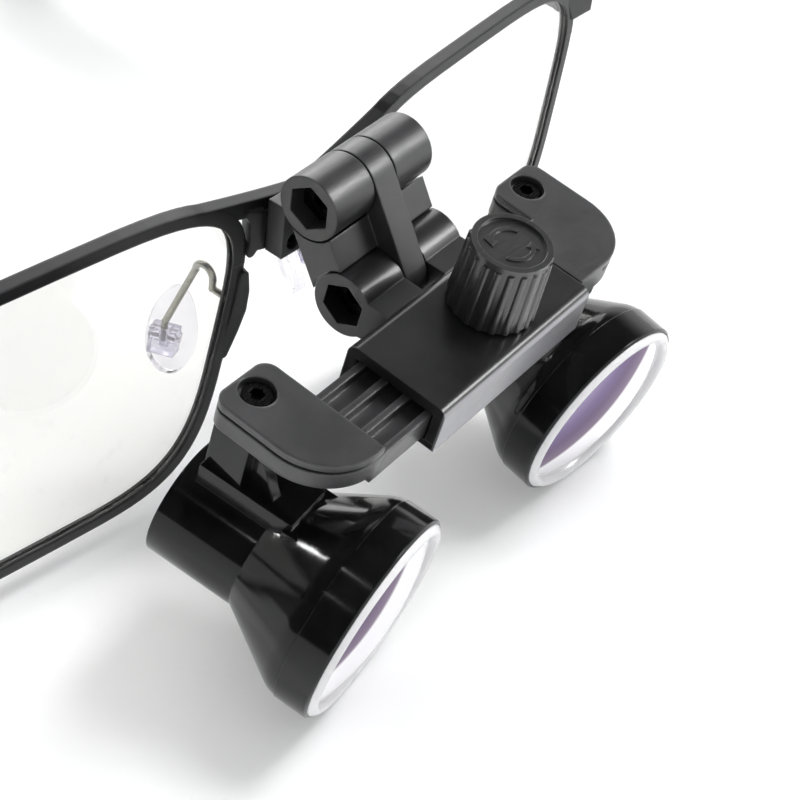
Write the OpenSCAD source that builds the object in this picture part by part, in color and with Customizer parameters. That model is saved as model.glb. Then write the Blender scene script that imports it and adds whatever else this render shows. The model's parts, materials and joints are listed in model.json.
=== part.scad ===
// Flip-up magnifying loupes on a full-rim metal spectacle frame, at real size in millimetres.
// +Z is up, the wearer looks along -Y and the wearer's left is +X.
// They stand on z = 0 on the two telescope rings and the two temple tips.
// Three frames are used. The part frame is the one above. The housing frame has its origin on
// the top face of the slide housing, in the hinge's middle plane. The front frame has its origin
// at the height of the lens centres, in the lens plane.

/* [Stance] */
// Angle by which the slide housing noses down at rest
rest_tilt = 12; // [8:0.5:15]
// Angle between the lens plane and the housing's upright
lens_lean = 8.8; // [7:0.1:12]
// Sideways turn of the telescope unit on the bridge, as it was set for its wearer
unit_turn = 4; // [0:0.5:5]
// Angle between the temples and the square of the lens plane
temple_tilt = 9; // [7:0.5:10]

/* [Telescopes] */
// Distance between the two telescope axes with both arms pushed in
pupil_distance = 56; // [54:0.5:58]
// How far the pair of telescopes sits toward the wearer's right
pair_shift = 4.1; // [3:0.1:5]
// Inward angle of each telescope, so that both look at one point
toe_in = 6; // [3:0.5:7]
// Downward angle of each telescope against the housing
nose_down = 2.4; // [0:0.2:4]
// Depth of the telescope axis below the housing's top face
axis_drop = 24; // [23:0.1:26]
// Length of the telescope ahead of its saddle
front_len = 13.3; // [12.5:0.1:15]
// Length of the telescope behind its saddle
rear_len = 15.6; // [14.5:0.1:17]
// Outer radius of the objective ring, which slip-on filters and caps fit
ring_r = 14.7; // [14:0.1:15.5]
// Length of the objective ring
ring_len = 4.8; // [4:0.1:5.5]
// Outer radius of the eyepiece tube
tube_r = 8.6; // [8.2:0.1:9.2]
// Length of the eyepiece tube before the flare starts
tube_len = 12.8; // [12:0.1:13.5]
// Wall of the telescope shell
shell_wall = 1.1; // [0.9:0.1:1.4]
// Thickness of the objective lens at its edge
objective_edge = 2.4; // [2:0.1:3]
// Bulge of the objective lens's front face
objective_bulge = 1.5; // [1.2:0.1:2]
// Thickness of the eyepiece lens in its middle
eyepiece_mid = 1.4; // [1:0.1:2]

/* [Slide housing] */
// Length of the housing along its slide
housing_l = 33; // [31:0.5:36]
// Depth of the housing from front to back
housing_d = 15.2; // [14.8:0.1:16.5]
// Height of the housing
housing_h = 7.1; // [6.9:0.1:8]
// Wall of the housing
housing_wall = 1.6; // [1.3:0.1:1.8]
// Radius of the housing's long top edges
housing_edge = 1.3; // [0.8:0.1:1.6]
// How far the housing's middle sits toward the wearer's right
housing_shift = 1.6; // [0:0.1:2]
// Thickness of the plate that closes the housing below
base_t = 1.0; // [0.8:0.1:1.2]

/* [Pupil distance drive] */
// Gear module of the pinion and both racks
gear_module = 0.6; // [0.56:0.01:0.62]
// Number of pinion teeth
pinion_teeth = 10; // [9:1:11]
// Pressure angle of the teeth
pressure_angle = 25; // [24:0.5:26]
// Play between two meshing teeth
backlash = 0.12; // [0.08:0.01:0.2]
// Outward travel of each arm
arm_travel = 8; // [6:0.5:8]
// How far the knob sits toward the wearer's left
knob_shift = 1.7; // [0:0.1:2.5]
// Radius of the knob's skirt
knob_r = 6.0; // [5.6:0.1:6.5]
// Narrowing of the knob from skirt to top
knob_taper = 0.4; // [0.2:0.1:0.7]
// Height of the knob's top above the housing
knob_h = 10.9; // [9:0.1:12]
// Number of grip ribs round the knob
knob_ribs = 20; // [16:1:24]
// Radius of the pinion shaft
shaft_r = 1.5; // [1.2:0.1:1.7]

/* [Arms] */
// Width of an arm plate
arm_w = 9.8; // [9.4:0.1:10.5]
// Thickness of an arm plate
arm_t = 4; // [3.6:0.1:4.6]
// How far an arm plate reaches behind the telescope's saddle line
arm_rear = 12.8; // [12.4:0.1:13.6]
// How far an arm plate reaches ahead of the saddle line
arm_front = 5.9; // [5.4:0.1:6.6]
// Radius of the counterbore over the arm's screw
arm_bore_r = 2.4; // [2.2:0.05:2.6]
// Radius of the arm screw's shank
arm_screw_r = 1.0; // [0.9:0.05:1.2]
// Play of the racks in the housing
slide_play = 0.3; // [0.2:0.02:0.35]
// Width of each rib on the right arm's neck
neck_rib = 1.0; // [0.8:0.1:1.2]

/* [Double hinge] */
// Radius of the hinge barrels
barrel_r = 4.5; // [4.3:0.1:4.8]
// Half of the hinge's whole width
hinge_half = 10.1; // [9.4:0.1:10.6]
// Width of the middle link
strap_w = 4.2; // [3.8:0.1:4.8]
// Distance between the two hinge axes
link_len = 13.5; // [13:0.1:14.5]
// Steepness of the link below the level of the housing
link_angle = 51.6; // [48:0.2:56]
// Height of the lower hinge axis below the housing's top face
lower_drop = 3.8; // [3.6:0.1:4.2]
// Distance of the lower hinge axis behind the housing's middle
lower_back = 14.1; // [13.6:0.1:15]
// Thickness of the link's side blocks
web_t = 5.6; // [5:0.1:6]
// Running gap round the hinge barrels
hinge_gap = 0.3; // [0.25:0.01:0.4]
// Radius of the hinge bolts
bolt_r = 1.5; // [1.2:0.1:1.7]
// Width across the flats of the bolt heads and nuts
hex_af = 5.5; // [5:0.1:5.8]
// Thickness of the bolt heads and nuts
hex_t = 2.2; // [1.8:0.1:2.4]
// Depth of the hex pockets in the hinge barrels
pocket_depth = 4.8; // [4.2:0.1:5]

/* [Spectacle front] */
// Half of the lens opening's width at its widest
lens_half_w = 30.8; // [30:0.1:31.5]
// Half of the lens opening's height
lens_half_h = 22; // [21:0.1:23]
// Distance of the lens opening's middle from the middle plane
lens_mid = 40.2; // [40:0.1:41]
// Squareness of the lens outline
lens_power = 4.1; // [3.6:0.1:4.5]
// Inward slope of the lens outline's nasal side
nasal_slope = 0.2; // [0.15:0.01:0.25]
// Inward slope of the lens outline's temporal side
temporal_slope = 0.11; // [0.06:0.01:0.14]
// Width of the wire rim
rim_w = 1.7; // [1.5:0.05:1.9]
// Depth of the wire rim from front to back
rim_d = 2.0; // [1.8:0.1:2.2]
// Extra height of the brow over the rim
brow_rise = 0.1; // [0.1:0.1:0.8]
// Depth of the brow and the bridge
brow_d = 2.1; // [2.0:0.1:2.4]
// Backward sweep of each half of the front
wrap = 6; // [5:0.5:7]
// Thickness of a carrier lens
lens_t = 1.0; // [0.8:0.1:1.2]
// How far the lens edge sits in the rim's groove
groove_depth = 0.45; // [0.3:0.05:0.5]
// Distance of the front's origin behind the housing's middle
front_back = 27.1; // [26.5:0.1:28]
// Height of the lens openings' top edge above the housing's top face
front_rise = 3.3; // [2.5:0.1:4]

/* [Temples] */
// Distance of a temple's hinge from the middle plane
temple_x = 71; // [70.8:0.1:72]
// Distance of a temple's hinge behind the lens plane
temple_back = 16.5; // [16:0.1:18]
// Height of a temple's hinge above the lens centres
temple_up = 17; // [16.5:0.1:17.5]
// Length of a temple from its hinge to the ear bend
ear_len = 84; // [78:1:95]
// Radius of the ear bend
ear_r = 22; // [16:1:28]
// Angle of the ear bend
ear_bend = 38; // [34:1:42]
// Thickness of the metal temple
temple_t = 1.5; // [1.2:0.1:1.8]
// Height of the metal temple at its hinge
temple_h = 4.6; // [4:0.1:5.2]
// Thickness of the temple tip's sleeve
tip_t = 3.2; // [2.8:0.1:3.6]
// Height of the temple tip's sleeve
tip_h = 5.6; // [5:0.1:6]
// Length of straight temple that the sleeve covers ahead of the bend
tip_lap = 16; // [12:1:22]

/* [Nose pads] */
// Length of a nose pad
pad_l = 13; // [11:0.5:14]
// Width of a nose pad
pad_w = 7; // [6:0.5:8]
// Thickness of a nose pad
pad_t = 1.8; // [1.5:0.1:2.2]
// Distance of each pad's middle from the middle plane
pad_x = 12.0; // [11.5:0.1:12.3]
// Distance of each pad's middle behind the lens plane
pad_back = 11.4; // [10.8:0.1:12]
// Depth of each pad's middle below the lens centres
pad_drop = 6; // [4:0.1:7]
// Radius of the pad arms' wire
wire_r = 0.5; // [0.4:0.05:0.6]

/* [Hidden] */
$fn = 48;

// Clearances
fit_gap = 0.05;
face_gap = 0.3;
lens_gap = 0.05;

// The telescope's direction in the housing frame and in the part frame
ring_chamfer = 0.3;
aim_x = sin(toe_in) * cos(nose_down);
aim_y = -cos(toe_in) * cos(nose_down);
aim_z = -sin(nose_down);
aim_part_z = aim_y * sin(rest_tilt) + aim_z * cos(rest_tilt);
ring_y = (front_len - ring_chamfer) * aim_y;
ring_z = (front_len - ring_chamfer) * aim_z - axis_drop;

// Height of the housing's top face, which sets the objective rings on z = 0
stand_h = ring_r * sqrt(1 - aim_part_z * aim_part_z)
    - (ring_y * sin(rest_tilt) + ring_z * cos(rest_tilt));

// The front edge of the right telescope's ring, which the turned unit puts foremost
right_x = -pupil_distance / 2 - pair_shift + (front_len - ring_chamfer) * aim_x;
right_aim_y = aim_x * sin(unit_turn)
    + (aim_y * cos(rest_tilt) - aim_z * sin(rest_tilt)) * cos(unit_turn);
foremost_y = right_x * sin(unit_turn)
    + (ring_y * cos(rest_tilt) - ring_z * sin(rest_tilt)) * cos(unit_turn)
    - ring_r * sqrt(1 - right_aim_y * right_aim_y);

// The front's place in the part frame, before the part is centred
front_tilt = rest_tilt - lens_lean;
front_drop = lens_half_h - front_rise;
front_reach = front_back * cos(rest_tilt) + front_drop * sin(rest_tilt);
front_y = front_reach * cos(unit_turn);
unit_x = front_reach * sin(unit_turn);
front_z = stand_h + front_back * sin(rest_tilt) - front_drop * cos(rest_tilt);

// The temple's ear piece is as long as it takes to reach z = 0
temple_fall = temple_tilt - front_tilt;
pivot_y = front_y + temple_back * cos(front_tilt) - temple_up * sin(front_tilt);
pivot_z = front_z + temple_back * sin(front_tilt) + temple_up * cos(front_tilt);
tip_end_r = tip_h / 2;
ear_piece = (pivot_z - tip_end_r - (ear_len + ear_r * sin(ear_bend)) * sin(temple_fall)
    - ear_r * (1 - cos(ear_bend)) * cos(temple_fall)) / sin(ear_bend + temple_fall);
tip_y = ear_len + ear_r * sin(ear_bend) + ear_piece * cos(ear_bend);
tip_z = -ear_r * (1 - cos(ear_bend)) - ear_piece * sin(ear_bend);
rearmost_y = pivot_y + tip_y * cos(temple_fall) + tip_z * sin(temple_fall) + tip_end_r;
centre_y = (foremost_y + rearmost_y) / 2;

// Hinge axes in the housing frame
upper_back = lower_back + link_len * cos(link_angle);
upper_up = link_len * sin(link_angle) - lower_drop;
knuckle_x = strap_w / 2 + hinge_gap;

// Distance from the upper axis back to the lens plane
axis_back = (front_back - upper_back) * cos(lens_lean) + (upper_up + front_drop) * sin(lens_lean);

// Slide and drive
channel_half = housing_d / 2 - housing_wall;
tongue_half = channel_half - slide_play;
tongue_top = -housing_wall - slide_play;
tongue_bottom = -housing_h + base_t + slide_play;
pitch_r = gear_module * pinion_teeth / 2;
tooth_pitch = PI * gear_module;
addendum = 0.85 * gear_module;
rack_root = pitch_r + 1.25 * gear_module;
housing_left = -housing_shift + housing_l / 2;
housing_right = -housing_shift - housing_l / 2;
rack_reach = arm_travel + pitch_r;

// Arms: the plates hang over the telescopes, and their necks reach the housing
saddle_x = pupil_distance / 2;
screw_back = arm_rear - arm_bore_r - 0.5;
screw_head_r = 1.9;
saddle_w = 7.6;

// Spectacle front
lens_points = 72;
bar_half = brow_d / 2;
mount_front = -bar_half - 2.9;
knuckle_r = 1.9;
knuckle_h = 2;

module in_part() translate([0, -centre_y, 0]) children();
module in_housing() in_part() translate([unit_x, 0, stand_h]) rotate([rest_tilt, 0, unit_turn]) children();
module in_front() in_part() translate([0, front_y, front_z]) rotate([front_tilt, 0, 0]) children();
module in_temple(side) in_front() translate([side * temple_x, temple_back, temple_up])
    rotate([-temple_tilt, 0, 0]) children();
// A telescope's own frame: its axis is z, which points at what the wearer looks at
module in_telescope(side) in_housing()
    translate([side * saddle_x - pair_shift, 0, -axis_drop])
    rotate([nose_down, 0, -side * toe_in]) rotate([90, 0, 0]) children();
// What is drawn for the wearer's left, mirrored when side is -1
module on_side(side) if (side < 0) mirror([1, 0, 0]) children(); else children();
// A cylinder along x
module rod_x(x0, x1, r) translate([x0, 0, 0]) rotate([0, 90, 0]) cylinder(h = x1 - x0, r = r);
module hex_x(x0, x1, af) translate([x0, 0, 0]) rotate([0, 90, 0])
    cylinder(h = x1 - x0, r = af / 2 / cos(30), $fn = 6);
// A round wire between two points
module wire(a, b, r) {
    d = b - a;
    translate(a) rotate([0, acos(d[2] / norm(d)), atan2(d[1], d[0])]) cylinder(h = norm(d), r = r);
}
// A plate in the front frame's x-z plane, from y0 to y1
module upright(y0, y1) translate([0, y1, 0]) rotate([90, 0, 0]) linear_extrude(y1 - y0) children();

// Spectacle front

// One lens outline, grown by g all round, with its middle at the origin and its nasal side at -x
function lens_outline(g) = [for (i = [0 : lens_points - 1])
    let (t = 360 * i / lens_points, c = cos(t), s = sin(t), a = lens_half_w + g, b = lens_half_h + g,
         fx = sign(c) * pow(abs(c), 2 / lens_power), z = b * sign(s) * pow(abs(s), 2 / lens_power),
         slope = fx < 0 ? nasal_slope : temporal_slope)
    [fx * a - fx * slope * (lens_half_h - z), z]];

module lens_shape(g) translate([lens_mid, 0]) polygon(lens_outline(g));
module half(side) on_side(side) rotate([0, 0, wrap]) children();

// The bridge dips between the brows. Its top and bottom lines run on into the rims
bridge_half = 19;
bridge_steps = 10;
bridge_h = 2.6;
bridge_dip = 2.6;
bridge_arch = 3.2;
bridge_top = lens_half_h - bridge_dip;
function bridge_line(i) = let (u = i / bridge_steps)
    [u * bridge_half, bridge_top + bridge_arch * pow(u, 1.2)];
module bridge_shape() polygon(concat([[-0.3, bridge_top - bridge_h], [-0.3, bridge_top]],
    [for (i = [0 : bridge_steps]) bridge_line(i)],
    [for (i = [bridge_steps : -1 : 0]) bridge_line(i) - [0, bridge_h]]));

// The lens opening and the groove in it
module opening() {
    upright(-2 * brow_d, 2 * brow_d) lens_shape(0);
    upright(-lens_t / 2 - lens_gap, lens_t / 2 + lens_gap) lens_shape(groove_depth + lens_gap);
}
// The brow runs down to this height over the lens centres
brow_low = 0.5 * lens_half_h;
// A rim with its brow and its half of the bridge
module rim() difference() {
    union() {
        upright(-rim_d / 2, rim_d / 2) lens_shape(rim_w);
        upright(-bar_half, bar_half) difference() {
            translate([0, brow_rise]) lens_shape(rim_w);
            translate([0, -2 * lens_half_h]) square([3 * lens_mid, 2 * lens_half_h + brow_low]);
        }
        upright(0.05 - bar_half, bar_half) bridge_shape();
    }
    opening();
}

tab_half = 8;
tab_drop = 9.2;
tab_bottom = lens_half_h - tab_drop;
tab_t = 1.3;
bridge_screw_x = 5.4;
bridge_screw_z = tab_bottom + 1.9;
bridge_screw_r = 0.8;
bridge_head_r = 1.3;

// The nasal side of a rim at height z, measured at the lens opening
function nasal_x(z) = (lens_mid - lens_half_w + nasal_slope * (lens_half_h - z)) * cos(wrap);
// The web that bends back from the tab to a rim, swells where the pad arm leaves and runs out down the rim
web_start = tab_half - 0.1;
web_mid = 5;
web_turn = atan(nasal_x(web_mid) * tan(wrap) / (nasal_x(web_mid) - tab_half));
web_swell = 1.5;
web_foot = 6.2;
module gusset_shape() intersection() {
    offset(r = 0.6) offset(delta = -0.6) polygon([[-0.7, tab_bottom], [web_swell / 2, tab_bottom + 0.1],
        [1.3 * web_swell, tab_bottom - web_swell], [web_swell, tab_bottom / 2],
        [1.2 * web_swell, tab_bottom / 4], [1.9 * web_swell, 0],
        [nasal_x(-web_foot) - rim_w - web_start, -web_foot],
        [nasal_x(-web_foot) - rim_w + 0.7 - web_start, -web_foot], [nasal_x(0) - 1 - web_start, 0],
        [nasal_x(bridge_top - web_mid) - 1 - web_start, bridge_top - web_mid],
        [nasal_x(bridge_top - 2) - 0.2 - web_start, bridge_top - 1.6],
        [nasal_x(bridge_top) + 1.6 - web_start, bridge_top + 0.6], [-0.7, bridge_top - 0.6]]);
    translate([-0.15, -lens_half_h]) square([lens_half_h, 3 * lens_half_h]);
}
module gusset() difference() {
    translate([web_start, 0, 0]) rotate([0, 0, web_turn]) upright(-bar_half, bar_half) gusset_shape();
    rotate([0, 0, wrap]) opening();
}

end_w = 4.4;
lens_edge = lens_mid + lens_half_w;
end_front = lens_edge * sin(wrap) - bar_half - 0.3;
module end_piece() {
    outer = temple_x + bar_x + temple_t / 2;
    difference() {
        union() {
            translate([outer - end_w, end_front, temple_up - 1.5 * knuckle_h])
                cube([end_w, temple_back - 0.2 - end_front, 3 * knuckle_h]);
            // The part that wraps the rim's corner
            upright(end_front, end_front + 2.6)
                polygon([[outer, temple_up - 1.5 * knuckle_h], [outer, temple_up + 1.5 * knuckle_h],
                         [lens_edge - 4.3, temple_up + 1.5 * knuckle_h],
                         [lens_edge - 1.2, temple_up - 1.5 * knuckle_h]]);
            for (z = [-1.5, 0.5]) translate([temple_x, temple_back, temple_up + z * knuckle_h])
                cylinder(h = knuckle_h - hinge_gap / 3, r = knuckle_r);
            translate([temple_x - knuckle_r, temple_back - 3, temple_up - 1.5 * knuckle_h])
                cube([2 * knuckle_r, 3, 3 * knuckle_h]);
        }
        // The slot for the temple's own knuckle
        translate([temple_x, temple_back, temple_up - knuckle_h / 2 - hinge_gap / 3])
            cylinder(h = knuckle_h + hinge_gap / 1.5, r = knuckle_r + face_gap);
        translate([temple_x, temple_back, temple_up - 2 * knuckle_h])
            cylinder(h = 4 * knuckle_h, r = temple_screw_r + fit_gap);
        // Clears the screw's head
        translate([temple_x, temple_back, temple_up + 1.5 * knuckle_h - screw_seat])
            cylinder(h = 1, r = temple_head_r + fit_gap);
    }
}
temple_screw_r = 0.7;
temple_head_r = 1.2;
screw_seat = 0.6;

// The screws that close the split rims go up into the end pieces from below
closing_r = 0.6;
closing_l = 4;
module at_closing_screws() for (side = [-1, 1])
    translate([side * (temple_x + 1), end_front + 4.6, temple_up - 1.5 * knuckle_h]) children();

module front_frame() color([0.06, 0.06, 0.065]) in_front() {
    difference() {
        union() {
            for (side = [-1, 1]) half(side) rim();
            for (side = [-1, 1]) on_side(side) end_piece();
            translate([-tab_half, -bar_half, tab_bottom])
                cube([2 * tab_half, tab_t, bridge_top - 1 - tab_bottom]);
            for (side = [-1, 1]) on_side(side) gusset();
        }
        for (x = [-bridge_screw_x, bridge_screw_x])
            translate([x, 0, bridge_screw_z]) rotate([90, 0, 0])
                cylinder(h = 2 * brow_d, r = bridge_screw_r + fit_gap, center = true);
        at_closing_screws() cylinder(h = closing_l, r = closing_r);
        // The pad arms' seats
        for (side = [-1, 1]) on_side(side) wire(pad_wire[0], pad_wire[1], wire_r + fit_gap);
    }
}

module carrier_lens(side) color([0.93, 0.95, 0.96, 0.25]) in_front() half(side)
    upright(-lens_t / 2, lens_t / 2) lens_shape(groove_depth);

module rim_screws() color([0.25, 0.25, 0.27]) in_front() at_closing_screws() {
    translate([0, 0, -0.6]) cylinder(h = 0.6, r = 1.1);
    cylinder(h = closing_l, r = closing_r);
}

// Temples

temple_front = 0.25;
// Centre line of the temple in its own y-z plane, and its direction there
function ear_point(s) = s < 0 ? [ear_len + s, 0]
    : s < ear_arc ? let (turn = s / ear_arc * ear_bend)
      [ear_len + ear_r * sin(turn), -ear_r * (1 - cos(turn))]
    : [ear_len + ear_r * sin(ear_bend) + (s - ear_arc) * cos(ear_bend),
       -ear_r * (1 - cos(ear_bend)) - (s - ear_arc) * sin(ear_bend)];
function ear_turn(s) = -ear_bend * max(0, min(1, s / ear_arc));
ear_arc = PI * ear_r * ear_bend / 180;
// A band along the centre line from s0 to s1, with half height w0 at one end and w1 at the other
module ear_band(s0, s1, w0, w1, steps) {
    function side_point(i, k) = let (u = i / steps, s = s0 + (s1 - s0) * u, w = w0 + (w1 - w0) * u,
        p = ear_point(s), a = ear_turn(s)) [p[0] - k * w * sin(a), p[1] + k * w * cos(a)];
    polygon(concat([for (i = [0 : steps]) side_point(i, 1)],
                   [for (i = [steps : -1 : 0]) side_point(i, -1)]));
}
module along_temple(t) rotate([90, 0, 90]) translate([0, 0, -t / 2]) linear_extrude(t) children();

bar_x = knuckle_r + face_gap + temple_t / 2;
// The metal inside the sleeve narrows to its end
core_run = 24;
core_end = ear_arc + core_run;
temple_flat = 14;
core_h = temple_h / 2 - 0.7;
core_tip = 0.8;
module temple(side) color([0.06, 0.06, 0.065]) {
    in_temple(side) translate([side * bar_x, 0, 0]) along_temple(temple_t) {
        translate([temple_front, -temple_h / 2]) square([temple_flat, temple_h]);
        ear_band(temple_front + temple_flat - 1 - ear_len, -tip_lap - 1, temple_h / 2, core_h, 6);
        ear_band(-tip_lap - 1, core_end, core_h, core_tip, 24);
    }
    in_front() translate([side * temple_x, temple_back, temple_up]) difference() {
        union() {
            translate([0, 0, -knuckle_h / 2]) cylinder(h = knuckle_h, r = knuckle_r);
            on_side(side) translate([0, temple_front, -knuckle_h / 2]) cube([bar_x, 4, knuckle_h]);
        }
        translate([0, 0, -knuckle_h]) cylinder(h = 2 * knuckle_h, r = temple_screw_r + fit_gap);
    }
}

module temple_tip(side) color([0.07, 0.07, 0.075]) in_temple(side)
    translate([side * bar_x, 0, 0]) difference() {
        union() {
            along_temple(tip_t) ear_band(-tip_lap, ear_arc + ear_piece, tip_h / 2 - 0.5, tip_end_r, 30);
            translate([0, tip_y, tip_z]) rod_x(-tip_t / 2, tip_t / 2, tip_end_r);
        }
        along_temple(temple_t + 2 * fit_gap)
            ear_band(-tip_lap - 1, core_end, core_h + fit_gap, core_tip + fit_gap, 24);
    }

module temple_screw(side) color([0.35, 0.35, 0.37]) in_front()
    translate([side * temple_x, temple_back, temple_up]) {
        translate([0, 0, -1.5 * knuckle_h + 0.2])
            cylinder(h = 3 * knuckle_h - 0.2 - screw_seat, r = temple_screw_r);
        translate([0, 0, 1.5 * knuckle_h - screw_seat]) cylinder(h = screw_seat, r = temple_head_r);
    }

// Nose pads. A pad's own frame has z up along the pad and -x toward the nose

pad_splay = -25;
pad_slant = -15;
pin_x = pad_t / 2 + 1.15;
ear_h = 0.85;
pad_hollow = 40;
pad_points = 32;
module in_pad(side) in_front() on_side(side)
    translate([pad_x, pad_back, -pad_drop]) rotate([0, pad_slant, pad_splay]) children();
// A point of the pad's frame, in the front frame
function from_pad(v) = let (x = v[0] * cos(pad_slant) + v[2] * sin(pad_slant),
    z = v[2] * cos(pad_slant) - v[0] * sin(pad_slant))
    [pad_x + x * cos(pad_splay) - v[1] * sin(pad_splay),
     pad_back + x * sin(pad_splay) + v[1] * cos(pad_splay), z - pad_drop];

module nose_pad(side) color([0.8, 0.8, 0.9, 0.5]) in_pad(side) {
    difference() {
        translate([-pad_t / 2, 0, 0]) rotate([90, 0, 90]) linear_extrude(pad_t)
            polygon([for (i = [0 : pad_points - 1]) let (t = 360 * i / pad_points)
                [pad_w / 2 * cos(t) * (1 - 0.14 * sin(t)), pad_l / 2 * sin(t)]]);
        // The hollow face that lies on the nose
        translate([-pad_hollow - pad_t / 2 + 0.35, 0, 0]) sphere(r = pad_hollow, $fn = 240);
    }
    difference() {
        union() {
            translate([pad_t / 2 - 0.2, -0.45, -ear_h]) cube([pin_x - pad_t / 2 + 0.2, 0.9, 2 * ear_h]);
            translate([pin_x, 0.45, 0]) rotate([90, 0, 0]) cylinder(h = 0.9, r = ear_h);
        }
        translate([pin_x, 0.5, 0]) rotate([90, 0, 0]) cylinder(h = 1, r = pad_pin_r + 0.04);
    }
}
pad_pin_r = 0.35;

module pad_pin(side) color([0.4, 0.4, 0.42]) in_pad(side)
    translate([pin_x, box_w / 2, 0]) rotate([90, 0, 0]) cylinder(h = box_w, r = pad_pin_r);

// The clear box that takes the wire's end and holds the pad's pin
box_w = 3.8;
box_h = 3.8;
box_d = 2.7;
box_wire = [[pin_x + 1.95, 0, 2.8], [pin_x + 1.75, 0, 0.3]];
module pad_box(side) color([0.8, 0.8, 0.9, 0.6]) in_pad(side) difference() {
    union() {
        translate([pin_x, -box_w / 2, -box_h / 2]) cube([box_d, box_w, box_h]);
        translate([pin_x, box_w / 2, 0]) rotate([90, 0, 0]) cylinder(h = box_w, r = ear_h);
    }
    translate([pin_x - 1.1, -0.55, -1.1]) cube([2.05, 1.1, 2.2]);
    translate([pin_x, box_w, 0]) rotate([90, 0, 0]) cylinder(h = 2 * box_w, r = pad_pin_r + 0.02);
    wire(box_wire[1], box_wire[0], wire_r + fit_gap + 0.04);
    translate(box_wire[1]) sphere(r = wire_r + fit_gap + 0.04);
}

// The wire leaves the rim's back, bends over and comes down to the pad's box
arm_z = 5.2;
bend_r = 1.6;
arm_x = nasal_x(arm_z) - rim_w / 2;
bend_at = [arm_x + 0.2, 5.9, arm_z + 1.7];
pad_wire = [[arm_x, arm_x * sin(wrap) + lens_t / 2 + 0.12, arm_z], bend_at + [0, -bend_r, -1.4],
            bend_at + [0, -bend_r, 0], bend_at + [0, bend_r, 0],
            from_pad(box_wire[0]), from_pad(box_wire[1])];
module pad_arm(side) color([0.42, 0.42, 0.36]) in_front() on_side(side) {
    for (i = [0, 1, 3, 4]) wire(pad_wire[i], pad_wire[i + 1], wire_r);
    // Solder beads at the bends
    for (i = [1, 2, 3, 4]) translate(pad_wire[i]) sphere(r = wire_r + 0.04);
    translate(bend_at) rotate([90, 0, 90]) rotate_extrude(angle = 180) translate([bend_r, 0])
        circle(r = wire_r);
    translate(pad_wire[5]) sphere(r = wire_r + 0.01);
}

// Bridge mount and double hinge

mount_half = 7.7;
plate_top = bridge_top + 1.3;
module in_lower_axis() in_housing() translate([0, lower_back, -lower_drop]) children();
// Square to the lens plane but turned with the unit
module in_upper_axis() in_housing() translate([0, upper_back, upper_up])
    rotate([-lens_lean, 0, 0]) children();
module hinge_bores(side_x) {
    rod_x(-side_x - 1, side_x + 1, bolt_r + fit_gap);
    for (x = [-side_x - 1, side_x - pocket_depth]) hex_x(x, x + pocket_depth + 1, hex_af + 2 * fit_gap);
}

module bridge_mount() color([0.06, 0.06, 0.065]) difference() {
    union() {
        in_front() translate([-mount_half, mount_front, tab_bottom - 0.2])
            cube([2 * mount_half, -bar_half - mount_front, plate_top - tab_bottom + 0.2]);
        in_upper_axis() {
            translate([-mount_half, fork_start, -fork_t - 0.7])
                cube([2 * mount_half, axis_back + mount_front + 1 - fork_start, fork_t]);
            for (side = [-1, 1]) rod_x(min(side * knuckle_x, side * hinge_half),
                                       max(side * knuckle_x, side * hinge_half), barrel_r);
        }
    }
    in_upper_axis() {
        rod_x(-knuckle_x, knuckle_x, barrel_r + hinge_gap + 0.1);
        hinge_bores(hinge_half);
    }
    in_front() for (x = [-bridge_screw_x, bridge_screw_x])
        translate([x, 0, bridge_screw_z]) rotate([90, 0, 0]) {
            cylinder(h = 4 * brow_d, r = bridge_screw_r + fit_gap, center = true);
            translate([0, 0, -mount_front - 1.6]) cylinder(h = 3, r = bridge_head_r + 0.15);
        }
}
fork_t = 3.6;
// Clears the link's back when the telescopes are down
fork_start = 3;

module bridge_screws() color([0.12, 0.12, 0.13]) in_front()
    for (x = [-bridge_screw_x, bridge_screw_x]) translate([x, 0, bridge_screw_z]) rotate([90, 0, 0])
        difference() {
            union() {
                translate([0, 0, bar_half - tab_t - backplate_t])
                    cylinder(h = -mount_front - 1.6 - bar_half + tab_t + backplate_t, r = bridge_screw_r);
                translate([0, 0, -mount_front - 1.6]) cylinder(h = 1.1, r = bridge_head_r);
            }
            translate([0, 0, -mount_front - 1]) cylinder(h = 1, r = 0.7, $fn = 6);
        }

backplate_t = 1;
backplate_half = tab_half - 0.9;
backplate_h = bridge_top - bridge_h - tab_bottom - 0.3;
module bridge_backplate() color([0.06, 0.06, 0.065]) in_front() difference() {
    translate([-backplate_half, tab_t - bar_half, tab_bottom])
        cube([2 * backplate_half, backplate_t, backplate_h]);
    for (x = [-bridge_screw_x, bridge_screw_x]) translate([x, 0, bridge_screw_z]) rotate([90, 0, 0])
        cylinder(h = 2 * brow_d, r = bridge_screw_r + fit_gap, center = true);
}

// The link's own frame: y runs from the lower axis to the upper one, z points ahead
module in_link() in_lower_axis() rotate([link_angle, 0, 0]) children();

head_x = pocket_depth - hex_t;
module hinge_bolt() difference() {
    union() {
        hex_x(-hinge_half + head_x, -hinge_half + pocket_depth, hex_af);
        rod_x(-hinge_half + pocket_depth, hinge_half - head_x - 0.4, bolt_r);
    }
    hex_x(-hinge_half, -hinge_half + head_x + 1.3, 2.5);
}
module hinge_nut() difference() {
    hex_x(hinge_half - pocket_depth, hinge_half - head_x, hex_af);
    rod_x(0, hinge_half + 1, bolt_r + fit_gap);
}
washer_t = hinge_gap - 0.04;
module hinge_washers() for (x = [-1, 1]) difference() {
    translate([x * (strap_w + hinge_gap) / 2, 0, 0]) rod_x(-washer_t / 2, washer_t / 2, barrel_r - 1);
    rod_x(-hinge_half, hinge_half, bolt_r + fit_gap);
}
module upper_bolt() color([0.16, 0.16, 0.17]) in_upper_axis() hinge_bolt();
module lower_bolt() color([0.16, 0.16, 0.17]) in_lower_axis() hinge_bolt();
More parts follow.
